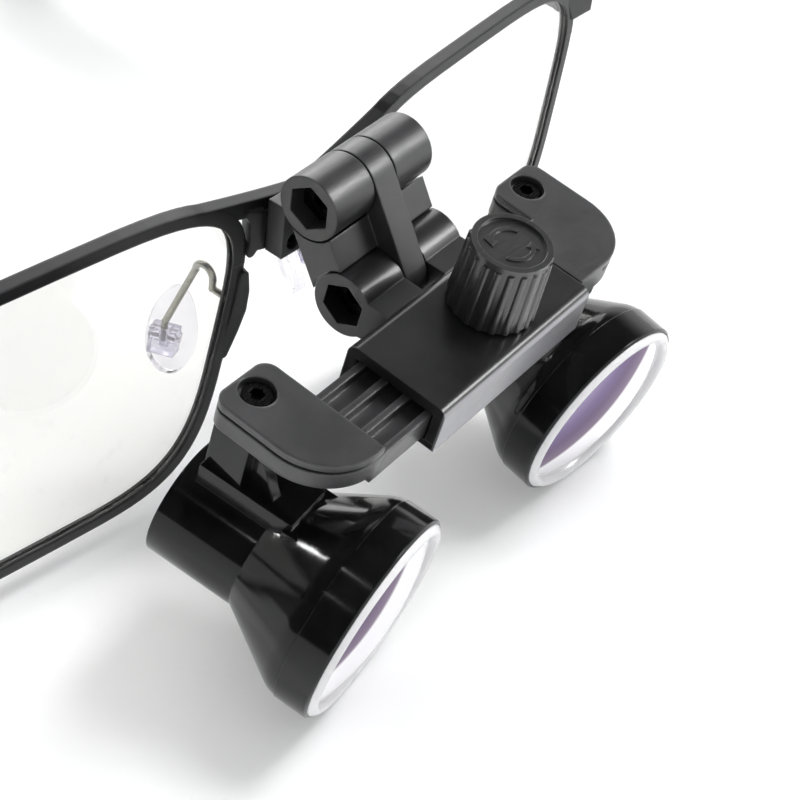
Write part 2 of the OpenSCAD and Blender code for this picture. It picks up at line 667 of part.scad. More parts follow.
module upper_nut() color([0.16, 0.16, 0.17]) in_upper_axis() hinge_nut();
module lower_nut() color([0.16, 0.16, 0.17]) in_lower_axis() hinge_nut();
module upper_washers() color([0.75, 0.75, 0.72]) in_upper_axis() hinge_washers();
module lower_washers() color([0.75, 0.75, 0.72]) in_lower_axis() hinge_washers();

// The link: a strap round both bolts, with a block on each side that fills the space between barrels
web_back = 3;
module flip_link() color([0.07, 0.07, 0.075]) in_link() difference() {
    union() {
        for (y = [0, link_len]) translate([0, y, 0]) rod_x(-strap_w / 2, strap_w / 2, barrel_r);
        translate([-strap_w / 2, 0, -barrel_r]) cube([strap_w, link_len, 2 * barrel_r]);
        difference() {
            translate([-hinge_half + 0.1, 1, barrel_r - web_back - web_t])
                cube([2 * hinge_half - 0.2, link_len - 2, web_t]);
            for (y = [0, link_len], side = [-1, 1]) translate([0, y, 0])
                rod_x(min(side * strap_w / 2, side * (hinge_half + 1)),
                      max(side * strap_w / 2, side * (hinge_half + 1)), barrel_r + hinge_gap);
        }
    }
    for (y = [0, link_len]) translate([0, y, 0]) rod_x(-hinge_half, hinge_half, bolt_r + fit_gap);
}

// Slide housing

module along_x(x0, x1) translate([x0, 0, 0]) rotate([90, 0, 90]) linear_extrude(x1 - x0) children();

module shell_profile() difference() {
    union() {
        translate([-housing_d / 2, base_t - housing_h])
            square([housing_d, housing_h - base_t - housing_edge]);
        translate([-housing_d / 2 + housing_edge, base_t - housing_h])
            square([housing_d - 2 * housing_edge, housing_h - base_t]);
        for (side = [-1, 1]) translate([side * (housing_d / 2 - housing_edge), -housing_edge])
            circle(r = housing_edge);
    }
    translate([-channel_half, -housing_h]) square([2 * channel_half, housing_h - housing_wall]);
}

lug_top = 0.8;
module lug_profile() {
    translate([lower_back, -lower_drop]) circle(r = barrel_r);
    polygon([[housing_d / 2 - 0.5, base_t - housing_h], [housing_d / 2 - 0.5, -lug_top],
             [lower_back - 1.5, -lower_drop + barrel_r - 1.7], [lower_back, -lower_drop - barrel_r + 0.6]]);
}

base_screw_x = housing_l / 2 - 3;
base_screw_y = housing_d / 2 - housing_wall / 2;
base_screw_r = 0.4;
base_head_r = 0.7;
base_head_t = 0.5;
module at_base_screws() for (x = [-base_screw_x, base_screw_x], y = [-base_screw_y, base_screw_y])
    translate([x - housing_shift, y, -housing_h]) children();

module slide_housing() color([0.07, 0.07, 0.075]) in_housing() difference() {
    union() {
        along_x(housing_right, housing_left) shell_profile();
        for (side = [-1, 1])
            along_x(min(side * knuckle_x, side * hinge_half), max(side * knuckle_x, side * hinge_half))
                lug_profile();
    }
    translate([0, lower_back, -lower_drop]) hinge_bores(hinge_half);
    translate([knob_shift, 0, -housing_wall - 1]) cylinder(h = housing_wall + 2, r = shaft_r + fit_gap);
    at_base_screws() cylinder(h = base_t + 3, r = base_screw_r);
}

journal_r = 1;
module base_plate() color([0.07, 0.07, 0.075]) in_housing() difference() {
    translate([housing_right, -housing_d / 2, -housing_h]) cube([housing_l, housing_d, base_t]);
    translate([knob_shift, 0, -housing_h - 1]) cylinder(h = base_t + 2, r = journal_r + fit_gap);
    at_base_screws() {
        translate([0, 0, -1]) cylinder(h = base_t + 2, r = base_screw_r + fit_gap);
        translate([0, 0, -1]) cylinder(h = base_head_t + 1, r = base_head_r + fit_gap);
    }
}

module base_screws() color([0.2, 0.2, 0.21]) in_housing() at_base_screws() {
    cylinder(h = base_head_t, r = base_head_r);
    cylinder(h = base_t + 2.6, r = base_screw_r);
}

// Rack and pinion: tooth flanks are involutes on the pinion and straight on the racks

base_r = pitch_r * cos(pressure_angle);
tip_r = pitch_r + addendum;
root_r = pitch_r - 1.25 * gear_module;
function involute(a) = tan(a) * 180 / PI - a;
// Half angle of a pinion tooth at radius r
function tooth_half(r) = 90 / pinion_teeth - backlash / 4 / pitch_r * 180 / PI
    + involute(pressure_angle) - involute(acos(min(1, base_r / r)));
flank_steps = 5;
function tooth_side(k) = [for (i = [0 : flank_steps]) let (r = base_r + (tip_r - base_r) * i / flank_steps)
    [r * cos(k * tooth_half(r)), r * sin(k * tooth_half(r))]];
module pinion_shape() {
    circle(r = root_r);
    for (i = [0 : pinion_teeth - 1]) rotate(90 + 360 * i / pinion_teeth)
        polygon(concat([[root_r * 0.6, -root_r * sin(tooth_half(base_r))]], tooth_side(-1),
            [for (i = [flank_steps : -1 : 0]) tooth_side(1)[i]],
            [[root_r * 0.6, root_r * sin(tooth_half(base_r))]]));
}

module pinion() color([0.72, 0.66, 0.5]) in_housing() translate([knob_shift, 0, 0]) {
    translate([0, 0, tongue_bottom]) linear_extrude(tongue_top - tongue_bottom) pinion_shape();
    translate([0, 0, -housing_h]) cylinder(h = housing_h + tongue_bottom + 0.1, r = journal_r);
    translate([0, 0, tongue_top - 0.1]) cylinder(h = knob_h - 3.5 - tongue_top, r = shaft_r);
}

// A rack's teeth from x0 to x1 on the +y side of the pinion, where the pinion has a tooth or a gap
module rack_shape(x0, x1, gap_at_knob) {
    half_tooth = tooth_pitch / 4 - backlash / 4;
    lean = tan(pressure_angle);
    depth = rack_root - pitch_r;
    translate([x0, rack_root]) square([x1 - x0, tongue_half - rack_root]);
    first = ceil((x0 - knob_shift) / tooth_pitch);
    last = floor((x1 - knob_shift) / tooth_pitch) - 1;
    for (i = [first : last]) {
        x = knob_shift + (i + (gap_at_knob ? 0.5 : 0)) * tooth_pitch;
        if (x - tooth_pitch / 2 >= x0 && x + tooth_pitch / 2 <= x1)
            polygon([[x - half_tooth - depth * lean, rack_root + 0.1],
                     [x - half_tooth - depth * lean, rack_root],
                     [x - half_tooth + addendum * lean, pitch_r - addendum],
                     [x + half_tooth - addendum * lean, pitch_r - addendum],
                     [x + half_tooth + depth * lean, rack_root],
                     [x + half_tooth + depth * lean, rack_root + 0.1]]);
    }
}

washer_h = 0.36;
knob_base = 0.4;
dish_depth = 0.4;
rib_r = 0.55;
module pd_knob() color([0.08, 0.08, 0.085]) in_housing() translate([knob_shift, 0, 0]) difference() {
    body_h = knob_h - knob_base;
    lean = atan(knob_taper / body_h);
    union() {
        translate([0, 0, knob_base])
            cylinder(h = body_h, r1 = knob_r - rib_r / 2, r2 = knob_r - rib_r / 2 - knob_taper);
        for (i = [0 : knob_ribs - 1]) rotate(360 * i / knob_ribs) translate([knob_r - rib_r, 0, knob_base])
            rotate([0, -lean, 0]) cylinder(h = body_h - 0.9, r = rib_r, $fn = 24);
    }
    // The dished top
    translate([0, 0, knob_h - dish_depth]) cylinder(h = 1, r = knob_r - knob_taper - 1.1);
    translate([0, 0, -1]) cylinder(h = knob_h - 2.5, r = shaft_r);
    // The rib ends are cut level with the skirt's foot
    translate([0, 0, knob_base - 1]) cylinder(h = 1, r = 2 * knob_r);
}
module knob_washer() color([0.7, 0.7, 0.68]) in_housing() translate([knob_shift, 0, 0]) difference() {
    cylinder(h = washer_h, r = knob_r - 2);
    translate([0, 0, -1]) cylinder(h = 3, r = shaft_r + fit_gap);
}

// Arms. side is -1 for the wearer's right arm, whose rack runs behind the pinion

function plate_x(side) = side * (saddle_x + 1) - pair_shift;
front_arc = arm_w - 1.1;
module plate_shape(g) {
    // The plate for the wearer's right arm, with its housing side at +x
    arc_y = -arm_front + front_arc;
    outer = -arm_w / 2 + g;
    translate([outer, arc_y]) square([arm_w - 2 * g, arm_rear - g - 2 - arc_y]);
    translate([outer + 2, arc_y]) square([arm_w - 2 * g - 4, arm_rear - g - arc_y]);
    for (x = [outer + 2, arm_w / 2 - g - 2]) translate([x, arm_rear - g - 2]) circle(r = 2);
    intersection() {
        translate([-arm_w / 2 + front_arc, arc_y]) circle(r = front_arc - g);
        translate([outer, -arm_front + g]) square([arm_w - 2 * g, front_arc]);
    }
}
groove_low = 1.5;
groove_high = 1.05;
groove_in = 0.45;
module arm_plate(side) translate([plate_x(side), 0, 0]) on_side(-side) difference() {
    union() {
        translate([0, 0, -arm_t]) linear_extrude(arm_t - groove_low) plate_shape(0);
        translate([0, 0, -groove_low]) linear_extrude(groove_low - groove_high) plate_shape(groove_in);
        translate([0, 0, -groove_high]) linear_extrude(groove_high) plate_shape(0);
    }
    translate([0, screw_back, -arm_t - 1]) cylinder(h = arm_t + 2, r = arm_screw_r + fit_gap);
    translate([0, screw_back, -head_depth]) cylinder(h = head_depth + 1, r = arm_bore_r);
}
head_depth = 1.7;
head_t = 1.2;

tongue_h = tongue_top - tongue_bottom;
tip_gap = 0.5;
front_has_gap = pinion_teeth % 2 == 0;
right_neck_end = knob_shift - rack_reach - tip_gap;
left_neck_end = knob_shift + rack_reach + tip_gap;
rib_h = 1.6;
module right_arm() color([0.1, 0.1, 0.105]) in_housing() {
    inner = plate_x(-1) + arm_w / 2;
    arm_plate(-1);
    translate([inner - 1, -tongue_half, tongue_bottom])
        cube([right_neck_end - inner + 1, 2 * tongue_half, tongue_h - rib_h]);
    for (k = [-1, -0.34, 0.32, 1])
        translate([inner - 1, k * (tongue_half - neck_rib / 2) - neck_rib / 2, tongue_bottom])
        cube([right_neck_end - inner + 1, neck_rib, tongue_h]);
    translate([0, 0, tongue_bottom]) linear_extrude(tongue_h)
        rack_shape(right_neck_end - 0.1, knob_shift + rack_reach, true);
}

module left_arm() color([0.1, 0.1, 0.105]) in_housing() {
    inner = plate_x(1) - arm_w / 2;
    arm_plate(1);
    // A stub, level with the plate, that meets the housing's end when the arm is pushed in
    translate([housing_left + face_gap, -arm_front, -arm_t])
        cube([inner + 1 - housing_left - face_gap, arm_front + tongue_half, arm_t]);
    translate([left_neck_end, -tongue_half, tongue_bottom])
        cube([inner + 1 - left_neck_end, 2 * tongue_half, tongue_h]);
    translate([0, 0, tongue_bottom]) linear_extrude(tongue_h) mirror([0, 1])
        rack_shape(knob_shift - rack_reach, left_neck_end + 0.1, front_has_gap);
}

screw_grip = 5;
module arm_screw(side) color([0.14, 0.14, 0.15]) in_housing()
    translate([plate_x(side), screw_back, 0]) difference() {
        union() {
            translate([0, 0, -head_depth]) cylinder(h = head_t, r = screw_head_r);
            translate([0, 0, -arm_t - screw_grip])
                cylinder(h = arm_t + screw_grip - head_depth, r = arm_screw_r);
        }
        translate([0, 0, -head_depth + 0.4]) cylinder(h = head_t, r = 1.05, $fn = 6);
    }

// Telescopes

flare_s = tube_len - rear_len;
ring_s = front_len - ring_len;
// The flare is a straight cone that rounds over into the band behind the ring
flare_round = 2.2;
flare_end = ring_s - flare_round;
band_r = ring_r - 0.15;
flare_slope = (band_r - tube_r) / (ring_s - flare_round / 2 - flare_s);
flare_r = tube_r + flare_slope * (flare_end - flare_s);
spigot_r = ring_r - 1;
seat_s = ring_s - 0.3;
spacer_t = 0.8;
spigot_end = seat_s + spacer_t + objective_edge;
lens_r = spigot_r - shell_wall;
eye_r = tube_r - shell_wall;
eye_ring_t = 1.4;
eye_edge = 2.4;
eye_shoulder = -rear_len + eye_ring_t + eye_edge;
rise_steps = 6;
// The flare's outline, grown by g, from the tube to the objective ring's back
function flare_line(g) = concat([[tube_r + g, flare_s]],
    [for (i = [0 : rise_steps]) let (t = i / rise_steps)
    [band_r + g - (band_r - flare_r) * (1 - t) * (1 - t), flare_end + flare_round * t]]);
module outer_form(g) rotate_extrude($fn = 96)
    polygon(concat([[0, -rear_len], [tube_r + g, -rear_len]], flare_line(g), [[0, ring_s]]));

module barrel_shell() rotate_extrude($fn = 96) difference() {
    polygon(concat([[0, -rear_len], [tube_r, -rear_len]], flare_line(0),
                   [[spigot_r, ring_s], [spigot_r, spigot_end], [0, spigot_end]]));
    polygon([[0, -rear_len - 1], [eye_r, -rear_len - 1], [eye_r, eye_shoulder], [eye_r - 1, eye_shoulder],
             [eye_r - 1, flare_s + 1], [lens_r - 1.2, flare_end], [lens_r - 1.2, seat_s],
             [lens_r, seat_s], [lens_r, spigot_end + 1], [0, spigot_end + 1]]);
}

saddle_rise = 2.3;
lug_w = 6.4;
lug_d = 5.6;
module barrel(side) color([0.02, 0.02, 0.022]) {
    in_telescope(side) {
        barrel_shell();
        difference() {
            union() {
                translate([-saddle_w / 2, 0, -rear_len + 2])
                    cube([saddle_w, tube_r + saddle_rise, flare_s + rear_len - 2 + 3]);
                translate([-saddle_w / 2 - 0.9, 0, flare_s + 2.2])
                    cube([saddle_w + 1.8, tube_r + saddle_rise - 0.7, 3]);
            }
            outer_form(-0.2);
        }
    }
    in_housing() difference() {
        union() {
            translate([plate_x(side) - lug_w / 2, screw_back - lug_d / 2,
                       -axis_drop + tube_r + saddle_rise - 1.4])
                cube([lug_w, lug_d, axis_drop - tube_r - saddle_rise + 1.4 - arm_t]);
            // The gusset ahead of the lug
            translate([plate_x(side) - 0.8, screw_back - lug_d / 2,
                       -axis_drop + tube_r + saddle_rise - 1.4])
                rotate([90, 0, -90]) translate([0, 0, -0.8]) linear_extrude(1.6)
                    polygon([[-0.5, 0], [5, 0], [-0.5, axis_drop - tube_r - saddle_rise + 0.6 - arm_t]]);
        }
        translate([plate_x(side), screw_back, -arm_t - screw_grip - 0.3])
            cylinder(h = screw_grip + 1, r = arm_screw_r);
    }
}

// The bezel's flange covers the ring's front but for a thin dark edge
flange_r = ring_r - ring_chamfer - 0.15;
flange_t = 0.9;
module objective_ring(side) color([0.03, 0.03, 0.032]) in_telescope(side) rotate_extrude($fn = 96)
    polygon([[spigot_r + fit_gap, ring_s], [ring_r, ring_s], [ring_r, front_len - ring_chamfer],
             [ring_r - ring_chamfer, front_len], [flange_r + fit_gap, front_len],
             [flange_r + fit_gap, front_len - flange_t - fit_gap],
             [bezel_r + fit_gap, front_len - flange_t - fit_gap], [bezel_r + fit_gap, spigot_end + fit_gap],
             [spigot_r + fit_gap, spigot_end + fit_gap]]);

bezel_r = spigot_r - 0.5;
module bezel(side) color([0.75, 0.75, 0.77]) in_telescope(side) rotate_extrude($fn = 96)
    polygon([[lens_r - 0.5, spigot_end + 0.25], [lens_r + 0.1, spigot_end + fit_gap],
             [bezel_r, spigot_end + fit_gap], [bezel_r, front_len - flange_t],
             [flange_r, front_len - flange_t], [flange_r, front_len - 0.05],
             [flange_r - 0.3, front_len - 0.05], [lens_r - 0.3, spigot_end + 0.55]]);

objective_sphere = (lens_r * lens_r + objective_bulge * objective_bulge) / 2 / objective_bulge;
module objective(side) color([0.5, 0.45, 0.7, 0.4]) in_telescope(side) intersection() {
    translate([0, 0, seat_s + spacer_t])
        cylinder(h = objective_edge + objective_bulge + 1, r = lens_r - 0.02);
    translate([0, 0, spigot_end + objective_bulge - objective_sphere])
        sphere(r = objective_sphere, $fn = 256);
}

module spacer(side) color([0.1, 0.1, 0.1]) in_telescope(side) translate([0, 0, seat_s]) difference() {
    cylinder(h = spacer_t, r = lens_r - 0.02, $fn = 96);
    translate([0, 0, -1]) cylinder(h = spacer_t + 2, r = lens_r - 1.4, $fn = 96);
}

eye_sphere = (eye_r * eye_r + pow(eye_edge - eyepiece_mid, 2) / 4) / (eye_edge - eyepiece_mid);
module eyepiece(side) color([0.7, 0.75, 0.8, 0.4]) in_telescope(side)
    translate([0, 0, eye_shoulder - eye_edge / 2]) difference() {
        cylinder(h = eye_edge, r = eye_r - 0.02, center = true, $fn = 96);
        for (k = [-1, 1])
            translate([0, 0, k * (eyepiece_mid / 2 + eye_sphere)]) sphere(r = eye_sphere, $fn = 256);
    }

module eye_ring(side) color([0.04, 0.04, 0.042]) in_telescope(side) rotate_extrude($fn = 96)
    polygon([[eye_r - 1.6, -rear_len + 0.2], [eye_r - 0.6, -rear_len], [eye_r - 0.02, -rear_len],
             [eye_r - 0.02, -rear_len + eye_ring_t], [eye_r - 1.6, -rear_len + eye_ring_t]]);

front_frame();
carrier_lens(1);  // left_lens
carrier_lens(-1);  // right_lens
rim_screws();
temple(1);  // left_temple
temple(-1);  // right_temple
temple_tip(1);  // left_temple_tip
temple_tip(-1);  // right_temple_tip
temple_screw(1);  // left_temple_screw
temple_screw(-1);  // right_temple_screw
pad_arm(1);  // left_pad_arm
pad_arm(-1);  // right_pad_arm
nose_pad(1);  // left_nose_pad
nose_pad(-1);  // right_nose_pad
pad_pin(1);  // left_pad_pin
pad_pin(-1);  // right_pad_pin
pad_box(1);  // left_pad_box
pad_box(-1);  // right_pad_box
bridge_mount();
bridge_screws();
bridge_backplate();
upper_bolt();
upper_nut();
upper_washers();
flip_link();
lower_bolt();
lower_nut();
lower_washers();
slide_housing();
base_plate();
base_screws();
pd_knob();
knob_washer();
pinion();
left_arm();
right_arm();
arm_screw(1);  // left_arm_screw
arm_screw(-1);  // right_arm_screw
barrel(1);  // left_barrel
barrel(-1);  // right_barrel
objective_ring(1);  // left_objective_ring
objective_ring(-1);  // right_objective_ring
bezel(1);  // left_bezel
bezel(-1);  // right_bezel
objective(1);  // left_objective
objective(-1);  // right_objective
spacer(1);  // left_spacer
spacer(-1);  // right_spacer
eyepiece(1);  // left_eyepiece
eyepiece(-1);  // right_eyepiece
eye_ring(1);  // left_eye_ring
eye_ring(-1);  // right_eye_ring
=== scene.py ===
"""Surgical loupes: materials, small trim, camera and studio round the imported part."""
import math

import bmesh
import bpy
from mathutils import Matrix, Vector
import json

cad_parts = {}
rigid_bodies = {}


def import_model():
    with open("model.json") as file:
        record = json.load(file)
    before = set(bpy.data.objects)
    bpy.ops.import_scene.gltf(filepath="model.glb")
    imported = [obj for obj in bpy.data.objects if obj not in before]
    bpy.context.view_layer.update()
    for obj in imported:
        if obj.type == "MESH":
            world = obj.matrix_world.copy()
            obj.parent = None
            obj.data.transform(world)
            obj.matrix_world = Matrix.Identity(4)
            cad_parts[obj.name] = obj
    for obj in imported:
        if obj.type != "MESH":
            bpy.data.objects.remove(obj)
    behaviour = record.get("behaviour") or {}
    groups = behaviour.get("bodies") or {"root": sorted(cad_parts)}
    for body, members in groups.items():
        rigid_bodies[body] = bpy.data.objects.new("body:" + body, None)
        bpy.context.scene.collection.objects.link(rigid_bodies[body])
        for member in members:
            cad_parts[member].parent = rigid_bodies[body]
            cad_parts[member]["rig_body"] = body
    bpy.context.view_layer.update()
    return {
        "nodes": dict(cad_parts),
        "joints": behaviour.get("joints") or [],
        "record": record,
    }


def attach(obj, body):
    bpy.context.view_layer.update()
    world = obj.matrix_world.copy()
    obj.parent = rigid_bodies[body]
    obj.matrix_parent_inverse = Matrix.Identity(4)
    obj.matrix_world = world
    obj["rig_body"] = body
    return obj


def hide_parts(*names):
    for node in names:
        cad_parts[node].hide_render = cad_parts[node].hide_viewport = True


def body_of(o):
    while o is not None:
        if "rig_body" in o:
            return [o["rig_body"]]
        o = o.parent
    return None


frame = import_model()
MM = 0.001
joints = {j["name"]: j for j in frame["joints"]}
mounts = {m["name"]: m for m in frame["record"]["mounts"]}

# The housing's directions: up the knob, along the slide to the wearer's left, and from front to back
knob_turn = joints["knob_turn"]
KNOB_MID = Vector(knob_turn["pos_m"])
KNOB_AXIS = Vector(knob_turn["axis"]).normalized()
ALONG = Vector(joints["left_arm_slide"]["axis"]).normalized()
ACROSS = KNOB_AXIS.cross(ALONG)
HOUSING_FRONT = max(-ACROSS.dot(v.co) for v in frame["nodes"]["slide_housing"].data.vertices)


class Nodes:
    """The node tree of a material or of the world, with short calls for the nodes used here."""

    def __init__(self, owner, output="OutputMaterial"):
        self.owner = owner
        owner.use_nodes = True
        self.tree = owner.node_tree
        self.tree.nodes.clear()
        self.out = self.add(output)
        coordinates = self.add("TexCoord")
        self.place = coordinates.outputs["Object"]
        self.direction = coordinates.outputs["Generated"]

    def add(self, kind):
        return self.tree.nodes.new("ShaderNode" + kind)

    def put(self, node, socket, value):
        """Sets a socket, by name or number, to a value or to what another node gives."""
        target = node.inputs[socket]
        if isinstance(value, bpy.types.NodeSocket):
            self.tree.links.new(value, target)
        elif target.type == "RGBA":
            target.default_value = (*value, 1)
        else:
            target.default_value = value

    def noise(self, scale, detail=3.0, rough=0.55, stretch=None):
        """Noise of so many features a metre, finer along an axis where stretch is over 1."""
        place = self.place
        if stretch:
            mapping = self.add("Mapping")
            self.put(mapping, "Vector", place)
            self.put(mapping, "Scale", stretch)
            place = mapping.outputs["Vector"]
        node = self.add("TexNoise")
        for key, value in (("Vector", place), ("Scale", scale), ("Detail", detail), ("Roughness", rough)):
            self.put(node, key, value)
        return node.outputs["Fac"]

    def span(self, value, low, high, at_low=0.0, at_high=1.0):
        """Takes low to at_low and high to at_high, and goes no further."""
        node = self.add("MapRange")
        self.put(node, "Value", value)
        self.put(node, "From Min", low)
        self.put(node, "From Max", high)
        self.put(node, "To Min", at_low)
        self.put(node, "To Max", at_high)
        return node.outputs["Result"]

    def mix(self, factor, first, second):
        """Mixes two colours."""
        node = self.add("Mix")
        node.data_type = "RGBA"
        factor_socket, first_socket, second_socket, result_socket = 0, 6, 7, 2
        self.put(node, factor_socket, factor)
        self.put(node, first_socket, first)
        self.put(node, second_socket, second)
        return node.outputs[result_socket]

    def mix_shader(self, factor, first, second):
        node = self.add("MixShader")
        for i, value in enumerate((factor, first, second)):
            self.put(node, i, value)
        return node.outputs[0]

    def ramp(self, value, *stops):
        """Colours at rising values, given as (value, colour)."""
        node = self.add("ValToRGB")
        self.put(node, "Fac", value)
        elements = node.color_ramp.elements
        while len(elements) < len(stops):
            elements.new(0.5)
        for element, (at, colour) in zip(elements, stops):
            element.position = at
            element.color = (*colour, 1)
        return node.outputs["Color"]

    def math(self, operation, *values):
        node = self.add("Math")
        node.operation = operation
        for i, value in enumerate(values):
            self.put(node, i, value)
        return node.outputs["Value"]

    def vector(self, operation, *values):
        node = self.add("VectorMath")
        node.operation = operation
        for i, value in enumerate(values):
            self.put(node, i, value)
        return node.outputs["Value"]

    def round_normal(self, radius):
        """A normal that rounds the edges by that radius."""
        node = self.add("Bevel")
        node.samples = 6
        self.put(node, "Radius", radius)
        return node.outputs["Normal"]

    def edge(self, radius):
        """1 on edges, where rounded and real normals part, and 0 on flat faces."""
        real = self.add("NewGeometry").outputs["Normal"]
        return self.span(self.vector("DOT_PRODUCT", self.round_normal(radius), real), 0.995, 0.80)

    def forward(self, start, end):
        """0 behind start and 1 ahead of end, both measured along the housing's forward direction."""
        return self.span(self.vector("DOT_PRODUCT", self.place, -ACROSS), start, end)

    def bump(self, height, strength, distance, normal=None):
        node = self.add("Bump")
        self.put(node, "Strength", strength)
        self.put(node, "Distance", distance)
        self.put(node, "Height", height)
        if normal is not None:
            self.put(node, "Normal", normal)
        return node.outputs["Normal"]

    def ray(self, *kinds):
        """1 for a ray of one of these kinds, such as Camera, and 0 for any other."""
        path = self.add("LightPath")
        found = path.outputs[f"Is {kinds[0]} Ray"]
        for kind in kinds[1:]:
            found = self.math("MAXIMUM", found, path.outputs[f"Is {kind} Ray"])
        return found

    def light(self, kind, colour, strength):
        """A Background or Emission."""
        node = self.add(kind)
        self.put(node, "Color", colour)
        self.put(node, "Strength", strength)
        return node.outputs[0]

    def principled(self, **values):
        """Sockets are named with _ for a space."""
        node = self.add("BsdfPrincipled")
        for key, value in values.items():
            self.put(node, key.replace("_", " "), value)
        return node.outputs[0]

    def surface(self, shader):
        self.put(self.out, "Surface", shader)
        return self.owner


def material(name):
    return Nodes(bpy.data.materials.new(name))


# Opaque materials. Lengths are in millimetres, and noise scales are per metre.
GRAIN_HEIGHT = 0.12
TURNING_HEIGHT = 0.06
MACHINED_ROUND = 0.12
# The share of its roughness that a worn edge loses
RUBBED = 0.35
# The housing's front face is painted lighter and partly metallic, a painted reflection of the bright room
# in that face: the paint starts that far behind its foremost face, and is full that far behind it
FRONT_FROM = 0.4
FRONT_FULL = 0.2
FRONT_REFLECTION_METAL = 0.7


def coated(name, colour, rough, worn, grain=2600.0, grain_depth=0.12, spread=0.25, bevel=0.22, wear=0.6,
           marks=0.14, front_reflection=None, **extra):
    """Moulded or painted surface: fine grain, soft blotches, and edges that are lighter and smoother.

    worn is the colour of the edges, and front_reflection the lighter colour of the housing's front face, a
    painted reflection."""
    n = material(name)
    blotch = n.noise(140.0, 4.0, 0.6)
    fine = n.noise(grain, 2.0, 0.6)
    speck = n.noise(900.0, 5.0, 0.7)
    scratch = n.noise(420.0, 3.0, 0.75, stretch=(1.0, 7.0, 2.0))
    light = tuple(c * (1 + spread) + 0.004 for c in colour)
    dark = tuple(c * (1 - spread) for c in colour)
    body = n.mix(n.span(blotch, 0.35, 0.65), dark, light)
    edge = n.math("MULTIPLY", n.edge(bevel * MM), n.span(speck, 0.36, 0.62, 0.15, wear))
    base = n.mix(edge, body, worn)
    smooth = n.span(scratch, 0.40, 0.60, rough * (1 - marks), rough * (1 + marks))
    rub = n.math("SUBTRACT", smooth, n.math("MULTIPLY", edge, rough * RUBBED))
    normal = n.bump(fine, grain_depth, GRAIN_HEIGHT * MM, n.round_normal(bevel * MM))
    # Painted reflection: the housing's front face takes a lighter colour and some metal, standing in for
    # the bright room it mirrors
    if front_reflection:
        front = n.forward(HOUSING_FRONT - FRONT_FROM * MM, HOUSING_FRONT - FRONT_FULL * MM)
        base = n.mix(front, base, front_reflection)
        extra["Metallic"] = n.math("MULTIPLY", front, FRONT_REFLECTION_METAL)
    return n.surface(n.principled(Base_Color=base, Roughness=rub, Normal=normal, **extra))


def machined(name, colour, rough):
    """Bare metal with fine turning marks and slight stains."""
    n = material(name)
    lines = n.noise(900.0, 4.0, 0.6, stretch=(1.0, 1.0, 30.0))
    stain = n.noise(220.0, 4.0, 0.6)
    base = n.mix(n.span(stain, 0.3, 0.7), tuple(c * 0.82 for c in colour), colour)
    smooth = n.span(lines, 0.35, 0.65, rough * 0.8, rough * 1.35)
    normal = n.bump(lines, 0.10, TURNING_HEIGHT * MM, n.round_normal(MACHINED_ROUND * MM))
    return n.surface(n.principled(Base_Color=base, Roughness=smooth, Normal=normal, Metallic=1.0))


# Clear materials
def see_through(n, shader, clear):
    """Lets the lamps' light pass, tinted by clear, so that a clear piece casts only a faint shadow."""
    passing = n.add("BsdfTransparent")
    n.put(passing, "Color", clear)
    return n.surface(n.mix_shader(n.ray("Shadow"), shader, passing.outputs[0]))


def carrier():
    """Thin clear spectacle lens: faint warm tint, traces of wiping and dust."""
    n = material("carrier_lens_clear")
    wipe = n.noise(70.0, 4.0, 0.6, stretch=(1.0, 1.0, 4.0))
    dust = n.noise(400.0, 2.0, 0.5)
    rough = n.span(wipe, 0.45, 0.7, 0.0, 0.008)
    normal = n.bump(n.noise(30.0, 2.0), 0.02, 0.4 * MM)
    tint = n.mix(n.span(dust, 0.66, 0.72), (0.935, 0.93, 0.905), (0.90, 0.90, 0.875))
    glass = n.principled(Base_Color=tint, Roughness=rough, Normal=normal, IOR=1.46, Transmission_Weight=1.0)
    return see_through(n, glass, (0.975, 0.975, 0.96))


def silicone():
    """Soft clear nose pad: it all but vanishes on white, apart from its edges."""
    n = material("pad_silicone")
    rough = n.span(n.noise(1600.0, 3.0), 0.35, 0.65, 0.03, 0.10)
    tint = n.mix(n.span(n.noise(300.0, 3.0), 0.3, 0.7), (0.84, 0.83, 0.88), (0.91, 0.90, 0.94))
    normal = n.round_normal(0.3 * MM)
    body = n.principled(Base_Color=tint, Roughness=rough, Normal=normal, IOR=1.2, Transmission_Weight=1.0)
    return see_through(n, body, (0.93, 0.925, 0.95))


def boxed():
    """Clear moulded box on the pad, with a lavender cast."""
    n = material("pad_box_clear")
    rough = n.span(n.noise(1600.0, 3.0), 0.35, 0.65, 0.08, 0.2)
    tint = n.mix(n.span(n.noise(500.0, 3.0), 0.3, 0.7), (0.70, 0.69, 0.80), (0.86, 0.85, 0.92))
    normal = n.bump(n.noise(900.0, 2.0), 0.1, 0.2 * MM, n.round_normal(0.25 * MM))
    body = n.principled(Base_Color=tint, Roughness=rough, Normal=normal, IOR=1.3, Transmission_Weight=0.85)
    return see_through(n, body, (0.85, 0.84, 0.90))


def objective_glass():
    """Coated lens: near black seen straight on, then violet, and bright where the view grazes it."""
    n = material("coated_objective")
    facing = n.add("LayerWeight")
    n.put(facing, "Blend", 0.5)
    film = n.ramp(
        facing.outputs["Facing"],
        (0.0, (0.012, 0.006, 0.024)),
        (0.30, (0.04, 0.02, 0.07)),
        (0.49, (0.34, 0.29, 0.44)),
        (0.56, (0.18, 0.13, 0.26)),
        (0.62, (0.12, 0.07, 0.16)),
        (0.69, (0.15, 0.09, 0.17)),
        (0.71, (0.95, 0.94, 0.96)),
    )
    smear = n.noise(90.0, 4.0, 0.6, stretch=(1.0, 3.0, 1.0))
    rough = n.span(smear, 0.45, 0.7, 0.02, 0.07)
    return n.surface(n.principled(Base_Color=film, Roughness=rough, Metallic=1.0))


